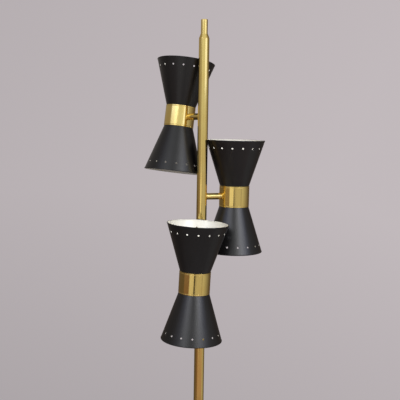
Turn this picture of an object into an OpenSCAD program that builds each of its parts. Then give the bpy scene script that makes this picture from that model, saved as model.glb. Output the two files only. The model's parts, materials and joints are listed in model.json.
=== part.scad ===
// Tension pole lamp: a brass pole that wedges between floor and ceiling by a
// spring-loaded plunger at its top. Three heads swivel on short arms. Each head
// is a pair of spun cones, one up and one down, joined at a brass waist band.
// Millimetres, +Z up. The origin is on the pole's axis, on the floor.

/* [Pole] */
// Outside diameter of the pole
pole_d = 24.5; // [20:0.5:25]
// Wall of the pole's tubes
pole_wall = 1; // [0.8:0.1:1.4]
// Length of the bottom tube
lower_len = 757; // [600:1:1000]
// Length of the middle tube
middle_len = 750; // [600:10:1000]
// Length of the top tube, which carries the three heads
upper_len = 900; // [880:10:1100]
// Length of the threaded joiner inside each joint of the pole
joiner_len = 70; // [50:5:90]
// Wall of the joiner
joiner_wall = 2; // [1.5:0.25:3]

/* [Foot] */
// Diameter of the foot where it meets the floor
foot_d = 60; // [50:1:80]
// Height of the brass foot above its rubber pad's edge
foot_h = 36; // [32:1:50]
// Thickness of the foot's rim
foot_rim_t = 4; // [3:0.5:6]
// Diameter of the foot's collar round the pole
collar_d = 31.5; // [30.5:0.5:36]
// Thickness of the metal under the pole's end
foot_floor_t = 4; // [3:0.5:6]
// Thickness of the rubber pad
pad_t = 5; // [4:0.5:8]
// How far the rubber pad stands below the foot
pad_show = 2; // [1.5:0.5:3]
// Width of the foot's rim outside the pad
pad_inset = 3; // [2:0.5:5]
// Width of the ring sunk in the pad's sole
sole_ring_w = 3; // [2:0.5:5]
// Depth of that ring
sole_ring_t = 1; // [0.6:0.1:1.6]
// Distance of that ring from the pad's edge
sole_inset = 5; // [4:0.5:8]
// Diameter of the set screw that holds the foot on the pole
screw_d = 4; // [3:1:5]
// Depth of the set screw below the top of the foot's collar
screw_drop = 8; // [6:0.5:10]
// How far the screw's head lies inside the collar's surface
screw_sunk = 0.5; // [0.2:0.1:1]
// Height of the cord's way into the pole
inlet_z = 75; // [60:5:200]
// Bore of the bush that the cord passes
inlet_d = 7; // [6:0.5:8]
// Wall of the bush
bush_wall = 1.5; // [1.2:0.1:2]
// How far the bush stands out of the pole
bush_out = 2.5; // [2:0.5:4]
// How far the bush reaches inside the pole
bush_in = 1.5; // [1:0.5:3]
// Width of the bush's rim round the hole
bush_rim = 1.5; // [1:0.5:3]

/* [Plunger] */
// Diameter of the plunger that comes out of the top of the pole
plunger_d = 16; // [14:0.5:17]
// Wall of the plunger's tube
plunger_wall = 1.2; // [1:0.1:2]
// How far the plunger can be pressed in
plunger_travel = 30; // [20:1:40]
// Length of plunger that still shows when it is pressed right in
plunger_stub = 3.5; // [2:0.5:20]
// Length of the sloped shoulder at the top of the pole
shoulder_h = 10.5; // [8:0.5:16]
// Width of the flat rim at the shoulder's top
shoulder_rim = 0.8; // [0.6:0.1:1]
// Length of the shoulder's spigot inside the pole
spigot_len = 22; // [16:1:30]
// Length of the guide at the plunger's inner end
guide_len = 30; // [24:1:40]
// Length of the plunger's tube that the guide holds
guide_grip = 18; // [12:1:20]
// Length of the brass nose at the plunger's tip
nose_h = 9; // [7:0.5:14]
// Rounding of the nose's edge
nose_round = 1.6; // [1:0.2:3]
// Length of the nose's spigot inside the plunger's tube
nose_spigot = 8; // [6:1:12]

/* [Spring] */
// Diameter of the spring's wire
wire_d = 2.2; // [1.6:0.1:2.4]
// Active turns of the spring
spring_turns = 16; // [10:1:18]
// Length of the spring while the lamp stands free
spring_len = 104; // [95:1:120]
// Length of the seat under the spring
seat_len = 14; // [10:1:16]
// Height of the spigots that centre the spring
spring_spigot = 10; // [6:1:12]
// Clearance between the spring and the inside of the pole
spring_gap = 1.1; // [0.8:0.1:1.2]
// Clearance between the spring and its spigots
spigot_gap = 0.9; // [0.6:0.1:1.2]
// Gap between the turns at each end of the spring
end_turn_gap = 0.5; // [0.4:0.1:1]

/* [Heads] */
// Depth of the top head's centre below the tip of the plunger
top_drop = 224; // [215:1:260]
// Height from one head's centre to the next
head_pitch = 188; // [180:1:230]
// Distance from the pole's axis to each head's axis
arm_out = 84.3; // [83.8:0.1:130]
// Direction of the top head's arm, anticlockwise from +X
top_turn = 132; // [0:1:360]
// Direction of the middle head's arm
middle_turn = 22; // [0:1:360]
// Direction of the bottom head's arm
bottom_turn = 261; // [0:1:360]
// Tilt of the top head about its arm
top_tilt = 8; // [-5:0.5:12]
// Tilt of the middle head about its arm
middle_tilt = 1; // [-5:0.5:12]
// Tilt of the bottom head about its arm
bottom_tilt = -2.5; // [-5:0.5:12]

/* [Shades] */
// Diameter of each shade's mouth
mouth_d = 141; // [110:1:141]
// Height of a whole head, mouth to mouth
head_h = 268.6; // [250:0.2:300]
// Wall of the spun shades
shade_wall = 1; // [0.8:0.1:1.4]
// Radius of the rolled bead round each mouth
bead_r = 1.2; // [1:0.1:1.6]
// Vent holes in each shade
vent_count = 16; // [8:1:20]
// Diameter of the vent holes
vent_d = 4; // [3:0.5:6]
// Depth of the vent holes' centres below the mouth
vent_drop = 18.5; // [12:0.5:30]
// Clearance between a shade's base and the lampholder that passes it
base_gap = 0.2; // [0.1:0.05:0.3]

/* [Waist] */
// Diameter of the brass band at the waist
band_d = 72.4; // [66:0.2:80]
// Height of the band
band_h = 50; // [46:1:60]
// Wall of the band
band_wall = 1; // [0.8:0.1:1.4]
// Depth of a shade's neck inside the band
neck_depth = 6.5; // [5:0.5:7]
// Width of the groove turned near each edge of the band
groove_w = 0.9; // [0.6:0.1:1.4]
// Depth of that groove
groove_t = 0.3; // [0.2:0.05:0.4]
// Distance of that groove from the band's edge
groove_in = 2.2; // [1.6:0.1:4]
// Width of the bracket's steel strip
strip_w = 16; // [16:0.5:20]
// Thickness of the bracket's steel strip
strip_t = 2; // [1.5:0.25:2.5]

/* [Arms] */
// Diameter of the arms
arm_d = 16; // [15:0.5:18]
// Wall of the arms
arm_wall = 1.2; // [1:0.1:2]
// Diameter of the threaded tubes in the arms and under the lampholders
nipple_d = 10; // [8:0.5:10]
// Bore of the threaded tubes, for the wires
nipple_bore = 7; // [5:0.5:7]
// Width across the flats of the nuts
nut_w = 14; // [13.5:0.5:15]
// Thickness of the swivel nut
nut_t = 5; // [4:0.5:6]
// Thickness of the saddle between the arm and the band
saddle_t = 1.6; // [1.2:0.1:2.5]
// Thickness of the fibre washer
fibre_t = 0.8; // [0.6:0.1:1.2]
// Thickness of the spring washer
spring_washer_t = 1.2; // [1:0.1:1.6]
// Depth of the boss that the spring washer bears on
boss_t = 2.6; // [2:0.2:3]
// How far the fibre washer lies inside the arm's edge
fibre_in = 0.2; // [0.1:0.1:0.5]
// Length of thread that shows past the swivel nut
thread_show = 1.2; // [0.8:0.1:2]
// How far the arm's threaded tube reaches inside the pole
thread_in = 2; // [1:0.5:4]

/* [Lampholders] */
// Diameter of a lampholder's threaded skirt
skirt_d = 28; // [26:0.5:30]
// Height of a lampholder
holder_h = 36; // [32:0.5:40]
// Thickness of a lampholder's collar
collar_t = 5; // [4:0.5:6]
// Width of a lampholder's collar outside its skirt
collar_w = 3; // [2.5:0.5:5]
// Length of the plain lip above a lampholder's skirt
lip_h = 8; // [6:0.5:10]
// How far the lip is set in from the skirt
lip_in = 2; // [1.5:0.5:3]
// Length of thread inside a lampholder
holder_thread = 8; // [6:0.5:10]
// Thickness of the hexagonal collar under a bracket's flange
flange_nut_t = 3; // [2:0.5:4]
// Thickness of the ring that clamps a shade
ring_t = 4; // [3:0.5:6]
// Width of that ring
ring_w = 4.5; // [3.5:0.5:6]
// Diameter of the bulb's cap
cap_d = 14; // [14:1:14]
// Length of the bulb's cap inside the lampholder
cap_len = 21; // [18:0.5:22]
// Diameter of the bulb's globe
globe_d = 45; // [35:1:50]
// Length of the bulb from its cap to the globe's end
bulb_len = 54; // [50:1:58]
// Radius of the glass where its neck meets the globe, as a share of the globe's
bulb_neck = 0.62; // [0.5:0.02:0.74]
// Wall of the bulb's glass
glass_wall = 0.8; // [0.6:0.1:1.2]
// Depth of the thread on the bulb's cap
cap_thread = 0.5; // [0.3:0.1:0.8]
// Distance from one ridge of that thread to the next
cap_pitch = 2.8; // [2.4:0.1:3.2]
// Ridges that stand for that thread
cap_ridges = 5; // [4:1:5]
// Clearance round the bulb's cap in the lampholder
cap_gap = 0.25; // [0.15:0.05:0.4]
// Height of the contact under the bulb's cap
contact_h = 1.5; // [1:0.1:2]

/* [Fits] */
// Running clearance on the radius, for what turns or slides
run_gap = 0.05; // [0.03:0.01:0.1]
// Clearance of pieces that are pushed together and stay
seat_gap = 0.05; // [0.02:0.01:0.1]
// Free clearance of the plunger's guide inside the pole
guide_gap = 0.3; // [0.2:0.05:0.4]
// Bevel on the edges of cast, moulded and turned pieces
bevel = 1; // [0.6:0.1:1.2]
// Easing of thin metal edges
easing = 0.4; // [0.2:0.1:0.5]

/* [Hidden] */
$fn = 96;
// How far a cutter passes beyond what it cuts
past = 1;
HEAD = ["top", "middle", "bottom"];
HEAD_PIECES = ["up_shade", "down_shade", "band", "saddle", "bracket", "holder_nipples",
    "up_holder", "down_holder", "shade_rings", "bulb_caps", "bulbs"];

brass = [0.76, 0.6, 0.3];
worn_brass = [0.7, 0.54, 0.26];
black = [0.13, 0.125, 0.13];
steel = [0.6, 0.61, 0.62];
phenolic = [0.9, 0.88, 0.82];
opal = [0.97, 0.96, 0.92];
rubber = [0.08, 0.08, 0.08];
fibre = [0.35, 0.16, 0.1];

// The pole, from the floor up
pole_r = pole_d/2;
pole_in = pole_r - pole_wall;
pole_base = pad_t + foot_floor_t;
joint_1 = pole_base + lower_len;
joint_2 = joint_1 + middle_len;
pole_top = joint_2 + upper_len;
shoulder_top = pole_top + shoulder_h;
tip_z = shoulder_top + plunger_travel + plunger_stub;
foot_top = pad_show + foot_h;
screw_z = foot_top - screw_drop;

// The plunger's parts, from its nose down
plunger_r = plunger_d/2;
spigot_bottom = pole_top - spigot_len;
guide_top = spigot_bottom - run_gap;
guide_bottom = guide_top - guide_len;
spring_bottom = guide_bottom - spring_len;
seat_bottom = spring_bottom - seat_len;
wire_r = wire_d/2;
coil_r = pole_in - wire_r - spring_gap;
spigot_r = coil_r - wire_r - spigot_gap;

// The heads, from the top one down
head_z = [for (i = [0:2]) tip_z - top_drop - i*head_pitch];
head_turn = [top_turn, middle_turn, bottom_turn];
head_tilt = [top_tilt, middle_tilt, bottom_tilt];
// Each shade is turned on its own axis as it was screwed in
up_shade_turn = [0, 14, 11.25];
down_shade_turn = [13, 14, 11.25];

// One head, measured from its centre: +X points away from the pole
half_h = head_h/2;
half_band = band_h/2;
band_r = band_d/2;
band_in = band_r - band_wall;
neck_r = band_in - seat_gap;
mouth_r = mouth_d/2;
neck_z = half_band - neck_depth;
slope = atan((mouth_r - neck_r)/(half_h - half_band));
wall_x = shade_wall/cos(slope);
base_r = skirt_d/2 + base_gap;
vent_z = half_h - vent_drop;
vent_r = neck_r + (vent_z - half_band)*tan(slope);

nipple_r = nipple_d/2;
arm_r = arm_d/2;
web_r = band_in - seat_gap;
boss_x = web_r - strip_t - boss_t;
arm_end = band_r + saddle_t + fibre_t + 2*run_gap;
nipple_end = boss_x - spring_washer_t - nut_t - thread_show;
nipple_start = arm_out - pole_in + thread_in;

holder_z = neck_z - collar_t;
skirt_r = skirt_d/2;
holder_top = holder_z + holder_h;
cap_z = holder_top - cap_len;
globe_r = globe_d/2;
globe_z = holder_top + bulb_len - globe_r;

// Places and holds one head's piece where its arm carries it
module at_head(i) {
    translate([0, 0, head_z[i]]) rotate([0, 0, head_turn[i]])
        translate([arm_out, 0, 0]) rotate([head_tilt[i], 0, 0]) children();
}

// The same place on the arm, which doesn't tilt with the head
module at_arm(i) {
    translate([0, 0, head_z[i]]) rotate([0, 0, head_turn[i]])
        translate([arm_out, 0, 0]) children();
}

// A cylinder along X, from x = a to x = b, with a < b
module rod_x(r, a, b) {
    translate([a, 0, 0]) rotate([0, 90, 0]) cylinder(r = r, h = b - a);
}

// A plain tube standing on z = 0
module pipe(r_out, r_in, h) {
    difference() {
        cylinder(r = r_out, h = h);
        translate([0, 0, -past]) cylinder(r = r_in, h = h + 2*past);
    }
}

// A nut or hexagonal collar standing on z = 0, with the corners turned off
module hexagon_nut(w, t, bore_r) {
    difference() {
        intersection() {
            cylinder(r = w/sqrt(3), h = t, $fn = 6);
            cylinder(r1 = w/2 + t, r2 = w/2, h = t);
        }
        translate([0, 0, -past]) cylinder(r = bore_r, h = t + 2*past);
    }
}

// ---- Foot ----

module foot_pad() {
    r = foot_d/2 - pad_inset - seat_gap;
    color(rubber) difference() {
        union() {
            translate([0, 0, bevel]) cylinder(r = r, h = pad_t - bevel);
            cylinder(r1 = r - bevel, r2 = r, h = bevel);
        }
        // A shallow ring in the sole, so that it grips the floor
        translate([0, 0, sole_ring_t - pad_t])
            pipe(r - sole_inset, r - sole_inset - sole_ring_w, pad_t);
    }
}

// A turned bell: a thin rim, a flank hollowed to a quarter circle and a collar
// round the pole
module foot() {
    rim_r = foot_d/2;
    collar_r = collar_d/2;
    rim_top = pad_show + foot_rim_t;
    flank_r = rim_r - bevel - collar_r;
    color(brass) difference() {
        rotate_extrude() {
            polygon([[0, pad_show], [rim_r - bevel, pad_show], [rim_r, pad_show + bevel],
                [rim_r, rim_top - bevel], [rim_r - bevel, rim_top], [0, rim_top]]);
            polygon([[0, rim_top], [collar_r, rim_top], [collar_r, foot_top - bevel],
                [collar_r - bevel, foot_top], [0, foot_top]]);
            difference() {
                translate([collar_r, rim_top]) square(flank_r);
                translate([collar_r + flank_r, rim_top + flank_r]) circle(r = flank_r);
            }
        }
        translate([0, 0, pole_base]) cylinder(r = pole_r + seat_gap, h = foot_h);
        translate([0, 0, pad_t - foot_h]) cylinder(r = rim_r - pad_inset, h = foot_h);
        translate([0, 0, screw_z]) rotate([-90, 0, 0])
            cylinder(r = screw_d/2 + seat_gap, h = collar_r + past);
    }
}

// Set screw with a hexagonal socket, in the back of the foot's collar
module foot_screw() {
    color(steel) translate([0, pole_r + seat_gap, screw_z]) rotate([-90, 0, 0])
        difference() {
            cylinder(r = screw_d/2, h = collar_d/2 - pole_r - seat_gap - screw_sunk);
            translate([0, 0, screw_d/4]) cylinder(r = screw_d/4, h = collar_d, $fn = 6);
        }
}

// Rubber bush where the cord enters the pole, at its back
module cord_bush() {
    neck = inlet_d/2 + bush_wall;
    color(rubber) difference() {
        union() {
            rotate([-90, 0, 0]) cylinder(r = neck - seat_gap, h = pole_r + bush_out);
            difference() {
                rotate([-90, 0, 0]) cylinder(r = neck + bush_rim, h = pole_r + bush_out);
                cylinder(r = pole_r + seat_gap, h = 4*neck, center = true);
            }
        }
        cylinder(r = pole_in - bush_in, h = 4*neck, center = true);
        rotate([-90, 0, 0]) cylinder(r = inlet_d/2, h = pole_d);
    }
}

// ---- Pole ----

module lower_tube() {
    color(brass) difference() {
        translate([0, 0, pole_base]) pipe(pole_r, pole_in, lower_len);
        translate([0, 0, inlet_z]) rotate([-90, 0, 0])
            cylinder(r = inlet_d/2 + bush_wall, h = pole_d);
    }
}

module middle_tube() {
    color(brass) translate([0, 0, joint_1]) pipe(pole_r, pole_in, middle_len);
}

// The top tube has one hole for each arm
module upper_tube() {
    color(brass) difference() {
        translate([0, 0, joint_2]) pipe(pole_r, pole_in, upper_len);
        for (i = [0:2]) at_arm(i) rod_x(nipple_r + seat_gap, -arm_out + pole_in/2, -arm_out + pole_d);
    }
}

module joiner(z) {
    color(worn_brass) translate([0, 0, z - joiner_len/2])
        pipe(pole_in - seat_gap, pole_in - seat_gap - joiner_wall, joiner_len);
}

// The shoulder of the pole, with its spigot and the bore that guides the plunger
module top_ferrule() {
    bore = plunger_r + run_gap;
    color(brass) rotate_extrude() polygon([
        [bore, spigot_bottom], [pole_in - seat_gap, spigot_bottom],
        [pole_in - seat_gap, pole_top], [pole_r, pole_top],
        [pole_r, pole_top + easing], [bore + shoulder_rim, shoulder_top - easing],
        [bore + shoulder_rim - easing/2, shoulder_top], [bore, shoulder_top]]);
}

module spring_seat() {
    color(steel) {
        translate([0, 0, seat_bottom]) cylinder(r = pole_in - seat_gap, h = seat_len);
        translate([0, 0, spring_bottom]) cylinder(r = spigot_r, h = spring_spigot);
    }
}

// ---- Spring ----

// The end turns lie close together, and the active ones are evenly spread
end_pitch = wire_d + end_turn_gap;
active_pitch = (spring_len - wire_d - 2*end_pitch)/spring_turns;
all_turns = spring_turns + 2;
ring_steps = 8;
wire_sides = 6;
rings = all_turns*ring_steps;

function coil_z(t) =
    t < 1 ? t*end_pitch :
    t < spring_turns + 1 ? end_pitch + (t - 1)*active_pitch :
    end_pitch + spring_turns*active_pitch + (t - spring_turns - 1)*end_pitch;

function coil_point(t, a) =
    let (r = coil_r + wire_r*cos(a))
    [r*cos(360*t), r*sin(360*t), wire_r + coil_z(t) + wire_r*sin(a)];

echo(spring_least_gap = min(end_pitch, active_pitch) - wire_d);

module spring() {
    pts = [for (k = [0:rings], s = [0:wire_sides - 1])
        coil_point(k/ring_steps, 360*s/wire_sides)];
    sides = [for (k = [0:rings - 1], s = [0:wire_sides - 1])
        let (n = (s + 1) % wire_sides, a = k*wire_sides, b = a + wire_sides)
        [a + s, b + s, b + n, a + n]];
    start = [[for (s = [0:wire_sides - 1]) s]];
    end = [[for (s = [wire_sides - 1:-1:0]) rings*wire_sides + s]];
    color(steel) translate([0, 0, spring_bottom])
        polyhedron(points = pts, faces = concat(sides, start, end), convexity = 10);
}

// ---- Plunger ----

// Guide on the plunger's inner end: it runs in the pole and stops on the ferrule
module plunger_guide() {
    r = pole_in - guide_gap;
    color(worn_brass) difference() {
        union() {
            translate([0, 0, guide_bottom]) cylinder(r = r, h = guide_len);
            translate([0, 0, guide_bottom - spring_spigot])
                cylinder(r = spigot_r, h = spring_spigot + guide_len/2);
        }
        translate([0, 0, guide_top - guide_grip])
            cylinder(r = plunger_r + seat_gap, h = guide_grip + past);
    }
}

module plunger_tube() {
    color(brass) translate([0, 0, guide_top - guide_grip])
        pipe(plunger_r, plunger_r - plunger_wall, tip_z - nose_h - guide_top + guide_grip);
}

// Turned nose with a spigot in the tube: the flat top bears on the ceiling
module plunger_nose() {
    color(brass) {
        rotate_extrude() {
            translate([0, tip_z - nose_h]) square([plunger_r, nose_h - nose_round]);
            translate([0, tip_z - nose_round]) square([plunger_r - nose_round, nose_round]);
            intersection() {
                translate([plunger_r - nose_round, tip_z - nose_round]) circle(r = nose_round, $fn = 48);
                translate([0, tip_z - nose_round]) square([plunger_r, nose_round]);
            }
        }
        translate([0, 0, tip_z - nose_h - nose_spigot])
            cylinder(r = plunger_r - plunger_wall - seat_gap, h = nose_spigot + nose_h/2);
    }
}

// ---- Arms ----

// The arm's tube is cut to the pole's curve at one end and square at the other
module arm_tube() {
    color(brass) difference() {
        rod_x(arm_r, -arm_out, -arm_end);
        rod_x(arm_r - arm_wall, -arm_out - past, -arm_end + past);
        translate([-arm_out, 0, 0]) cylinder(r = pole_r, h = 2*arm_d, center = true);
    }
}

module arm_nipple() {
    color(worn_brass) difference() {
        rod_x(nipple_r, -nipple_start, -nipple_end);
        rod_x(nipple_bore/2, -nipple_start - past, -nipple_end + past);
    }
}

// A flat ring round the X axis, from x = a to x = b
module ring_x(r_out, r_in, a, b) {
    difference() {
        rod_x(r_out, a, b);
        rod_x(r_in, a - past, b + past);
    }
}

module fibre_washer() {
    color(fibre) ring_x(arm_r - fibre_in, nipple_r + run_gap, -arm_end, -arm_end + fibre_t);
}

module spring_washer() {
    washer_x = -boss_x + run_gap;
    color(steel) ring_x(nut_w/2, nipple_r + run_gap, washer_x, washer_x + spring_washer_t);
}

module swivel_nut() {
    color(worn_brass) translate([-boss_x + 2*run_gap + spring_washer_t, 0, 0]) rotate([0, 90, 0])
        hexagon_nut(nut_w, nut_t, nipple_r + seat_gap);
}

// ---- Heads ----

// A spun shade: a flat base with a hole for the lampholder, a short neck that
// sits in the band, and a straight cone whose mouth ends in a rolled bead
module shade(turn) {
    bead_x = mouth_r - bead_r;
    bead_z = half_h - bead_r;
    color(black) difference() {
        rotate_extrude() {
            polygon([
                [base_r, neck_z], [neck_r, neck_z], [neck_r, half_band],
                [mouth_r - bead_r*tan(slope), bead_z], [mouth_r - bead_r*tan(slope) - wall_x, bead_z],
                [neck_r - wall_x, half_band], [neck_r - wall_x, neck_z + shade_wall],
                [base_r, neck_z + shade_wall]]);
            translate([bead_x, bead_z]) circle(r = bead_r, $fn = 32);
        }
        // Vent holes, drilled square to the cone
        for (k = [0:vent_count - 1])
            rotate([0, 0, turn + 360*k/vent_count]) translate([vent_r, 0, vent_z])
                rotate([0, 90 + slope, 0]) cylinder(r = vent_d/2, h = 2*vent_d, center = true, $fn = 24);
    }
}

module up_shade(i) {
    shade(up_shade_turn[i]);
}

module down_shade(i) {
    rotate([180, 0, 0]) shade(down_shade_turn[i]);
}

// The waist band, with its edges eased and a groove turned near each
module band() {
    color(brass) difference() {
        rotate_extrude() difference() {
            polygon([
                [band_in, -half_band], [band_r - easing, -half_band], [band_r, -half_band + easing],
                [band_r, half_band - easing], [band_r - easing, half_band], [band_in, half_band]]);
            both_edges() translate([band_r - groove_t, half_band - groove_in - groove_w])
                square([groove_t + past, groove_w]);
        }
        rod_x(nipple_r + run_gap, -band_r - past, -band_in + past);
    }
}

// A shape and its mirror image at the band's other edge
module both_edges() {
    children();
    mirror([0, 1]) children();
}

// Saddle: hollow towards the band, flat towards the arm
module saddle() {
    color(brass) difference() {
        rod_x(arm_r, -band_r - saddle_t, -band_in);
        cylinder(r = band_r + seat_gap, h = 2*arm_d, center = true);
        rod_x(nipple_r + run_gap, -band_r - saddle_t - past, 0);
    }
}

module strip_shape() {
    difference() {
        union() {
            translate([-web_r, -strip_w/2]) square([web_r, strip_w]);
            circle(r = strip_w/2);
        }
        circle(r = nipple_r + seat_gap);
    }
}

// Bent steel bracket: its web lies along the band, its two flanges carry the
// lampholders, and its boss takes the pull of the swivel nut
module bracket() {
    color(steel) difference() {
        intersection() {
            cylinder(r = web_r, h = 2*holder_z, center = true);
            union() {
                difference() {
                    translate([-web_r - past, -strip_w/2, -holder_z]) cube([web_r/2, strip_w, 2*holder_z]);
                    cylinder(r = web_r - strip_t, h = 3*holder_z, center = true);
                }
                translate([0, 0, holder_z - strip_t]) linear_extrude(strip_t) strip_shape();
                translate([0, 0, -holder_z]) linear_extrude(strip_t) strip_shape();
                rod_x(strip_w/2, -web_r, -boss_x);
            }
        }
        rod_x(nipple_r + run_gap, -band_r, 0);
    }
}

// Threaded tube with a hexagonal collar: it pins a lampholder to its flange
module holder_nipple() {
    z = holder_z - strip_t - flange_nut_t;
    color(worn_brass) {
        translate([0, 0, z]) hexagon_nut(nut_w, flange_nut_t, nipple_bore/2);
        translate([0, 0, z]) pipe(nipple_r, nipple_bore/2, flange_nut_t + strip_t + holder_thread);
    }
}

// Lampholder: a collar under the shade's base, a threaded skirt through it and a
// plain lip round the bulb's cap
module holder() {
    bore = cap_d/2 + cap_gap;
    thread_top = holder_z + holder_thread + seat_gap;
    color(phenolic) rotate_extrude() polygon([
        [nipple_r + seat_gap, holder_z], [skirt_r + collar_w, holder_z],
        [skirt_r + collar_w, neck_z - seat_gap], [skirt_r, neck_z - seat_gap],
        [skirt_r, holder_top - lip_h], [skirt_r - lip_in, holder_top - lip_h + bevel],
        [skirt_r - lip_in, holder_top - bevel], [skirt_r - lip_in - bevel, holder_top],
        [bore + 2*bevel, holder_top], [bore, holder_top - 2*bevel],
        [bore, cap_z - contact_h], [nipple_bore/2, cap_z - contact_h],
        [nipple_bore/2, thread_top], [nipple_r + seat_gap, thread_top]]);
}

// Ring screwed down the skirt, which clamps the shade's base on the collar
module shade_ring() {
    r_in = skirt_r + seat_gap;
    z = neck_z + shade_wall + seat_gap;
    color(phenolic) rotate_extrude() polygon([
        [r_in, z], [r_in + ring_w, z], [r_in + ring_w, z + ring_t - bevel],
        [r_in + ring_w - bevel, z + ring_t], [r_in, z + ring_t]]);
}

// The bulb's screw cap, with its thread as bevelled ridges, and its contact
module bulb_cap() {
    core_r = cap_d/2 - cap_thread;
    thread_z = cap_z + 2*contact_h;
    ridge = cap_pitch*3/4;
    color(steel) rotate_extrude() {
        polygon([[0, cap_z], [core_r/3, cap_z], [core_r - bevel, cap_z + contact_h],
            [core_r, cap_z + contact_h], [core_r, holder_top], [0, holder_top]]);
        for (k = [0:cap_ridges - 1])
            translate([0, thread_z + k*cap_pitch]) polygon([[0, 0], [core_r, 0],
                [cap_d/2, ridge*2/5], [cap_d/2, ridge*3/5], [core_r, ridge], [0, ridge]]);
    }
}

// The bulb's glass: a globe on a neck that spreads from the cap
module bulb() {
    shoulder_r = bulb_neck*globe_r;
    neck_top = globe_z - sqrt(globe_r*globe_r - shoulder_r*shoulder_r);
    neck_low = holder_top + seat_gap;
    color(opal) rotate_extrude() difference() {
        union() {
            translate([0, globe_z]) circle(r = globe_r);
            polygon([[0, neck_low], [cap_d/2, neck_low], [cap_d/2 + glass_wall, neck_low + bevel],
                [shoulder_r, neck_top], [0, globe_z]]);
        }
        translate([0, globe_z]) circle(r = globe_r - glass_wall);
        polygon([[0, neck_low - past], [cap_d/2 - glass_wall, neck_low - past],
            [cap_d/2 - glass_wall, neck_low + bevel], [shoulder_r - glass_wall, neck_top], [0, globe_z]]);
        translate([-2*globe_r, 0]) square([2*globe_r, globe_z + 2*globe_r]);
    }
}

// A piece and its twin at the other end of the head
module both_ends() {
    children();
    rotate([180, 0, 0]) children();
}

// ---- Assembly ----

foot_pad();
foot();
foot_screw();
translate([0, 0, inlet_z]) cord_bush();
lower_tube();
joiner(joint_1);  // lower_joiner
middle_tube();
joiner(joint_2);  // upper_joiner
upper_tube();
top_ferrule();
spring_seat();
spring();
plunger_guide();
plunger_tube();
plunger_nose();
for (i = [0:2]) at_arm(i) arm_nipple();  // arm_nipples
for (i = [0:2]) at_arm(i) fibre_washer();  // fibre_washers
for (i = [0:2]) at_arm(i) spring_washer();  // spring_washers
for (i = [0:2]) at_arm(i) swivel_nut();  // swivel_nuts
for (i = [0:2]) {
    at_arm(i) arm_tube();
    at_head(i) up_shade(i);
    at_head(i) down_shade(i);
    at_head(i) band();
    at_head(i) saddle();
    at_head(i) bracket();
    at_head(i) both_ends() holder_nipple();
    at_head(i) holder();
    at_head(i) rotate([180, 0, 0]) holder();
    at_head(i) both_ends() shade_ring();
    at_head(i) both_ends() bulb_cap();
    at_head(i) both_ends() bulb();
}
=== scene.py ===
# %% [markdown]
# # A tension pole lamp with three double-cone heads
#
# The real lamp is a brass pole that wedges between floor and ceiling. Three heads hang
# beside it on short arms. Each head is two spun metal cones, satin black outside and
# white enamel inside, joined at a polished brass waist band.
#
# The engineering model is loaded first and fixes every size and place. What shows is
# then made again as smooth meshes in the same space, and each is tied to the body that
# carries it, so that it moves when a head swivels or the plunger goes in.

# %% Load the fixed frame
import json
import math

import bmesh
import bpy
from mathutils import Matrix, Vector


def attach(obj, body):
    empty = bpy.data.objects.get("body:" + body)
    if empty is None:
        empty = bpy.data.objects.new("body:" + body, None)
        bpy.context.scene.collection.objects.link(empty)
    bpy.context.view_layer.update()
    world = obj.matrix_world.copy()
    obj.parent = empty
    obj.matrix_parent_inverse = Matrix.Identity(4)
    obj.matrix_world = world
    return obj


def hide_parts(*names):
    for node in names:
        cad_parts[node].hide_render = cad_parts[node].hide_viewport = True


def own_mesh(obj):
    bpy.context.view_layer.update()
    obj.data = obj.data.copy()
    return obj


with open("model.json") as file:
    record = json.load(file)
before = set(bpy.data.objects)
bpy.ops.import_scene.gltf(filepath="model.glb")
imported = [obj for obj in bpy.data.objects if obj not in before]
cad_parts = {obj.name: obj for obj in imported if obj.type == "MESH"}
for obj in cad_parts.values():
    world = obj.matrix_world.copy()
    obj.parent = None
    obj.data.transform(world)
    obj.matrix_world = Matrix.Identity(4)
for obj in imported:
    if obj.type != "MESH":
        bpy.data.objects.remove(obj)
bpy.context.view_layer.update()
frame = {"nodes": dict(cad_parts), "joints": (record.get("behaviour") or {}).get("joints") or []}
MM = 0.001
HEADS = ("top", "middle", "bottom")
scene = bpy.context.scene
scene.view_settings.view_transform = "Standard"

# %% [markdown]
# ## Measuring the engineering model
#
# A lathe piece needs radii and heights. They are read from the model's own corners:
# turned into a head's own frame, a piece's largest radius and height are its true
# sizes. A head's axis runs from its lower lampholder to its upper one, and its arm's
# direction is the axis of its swivel joint. The few sizes that a largest radius or
# height cannot give, such as the holes, the bead and the grooves, are written again
# where they are used.

# %% Read sizes from the frame
JOINTS = {joint["name"]: joint for joint in frame["joints"]}


def corners(node, place=Matrix.Identity(4)):
    """A node's corners, each once, seen from the frame that place describes."""
    back = place.inverted()
    vertices = frame["nodes"][node].data.vertices
    points = {tuple(round(c, 6) for c in v.co): v.co for v in vertices}
    return [back @ p for p in points.values()]


def middle_of(points):
    return sum(points, Vector()) / len(points)


def in_mm(length):
    return round(length / MM, 2)


def head_place(name):
    """The matrix of a head: +X away from the pole, +Z along the head's own axis."""
    joint = JOINTS[f"{name}_swivel"]
    upper, lower = (middle_of(corners(f"{name}_{end}_holder")) for end in ("up", "down"))
    x = Vector(joint["axis"]).normalized()
    z = (upper - lower).normalized()
    y = z.cross(x).normalized()
    place = Matrix((x, y, x.cross(y))).transposed().to_4x4()
    place.translation = Vector(joint["pos_m"])
    return place


def ring_sizes(node, place=Matrix.Identity(4), twins=False):
    """Outer radius, inner radius, bottom and top of a piece that is round about Z. Twins,
    one at each end of a head, are measured as if both pointed up."""
    points = corners(node, place)
    radii = [math.hypot(p.x, p.y) for p in points]
    heights = [abs(p.z) if twins else p.z for p in points]
    return max(radii), min(radii), min(heights), max(heights)


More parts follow.
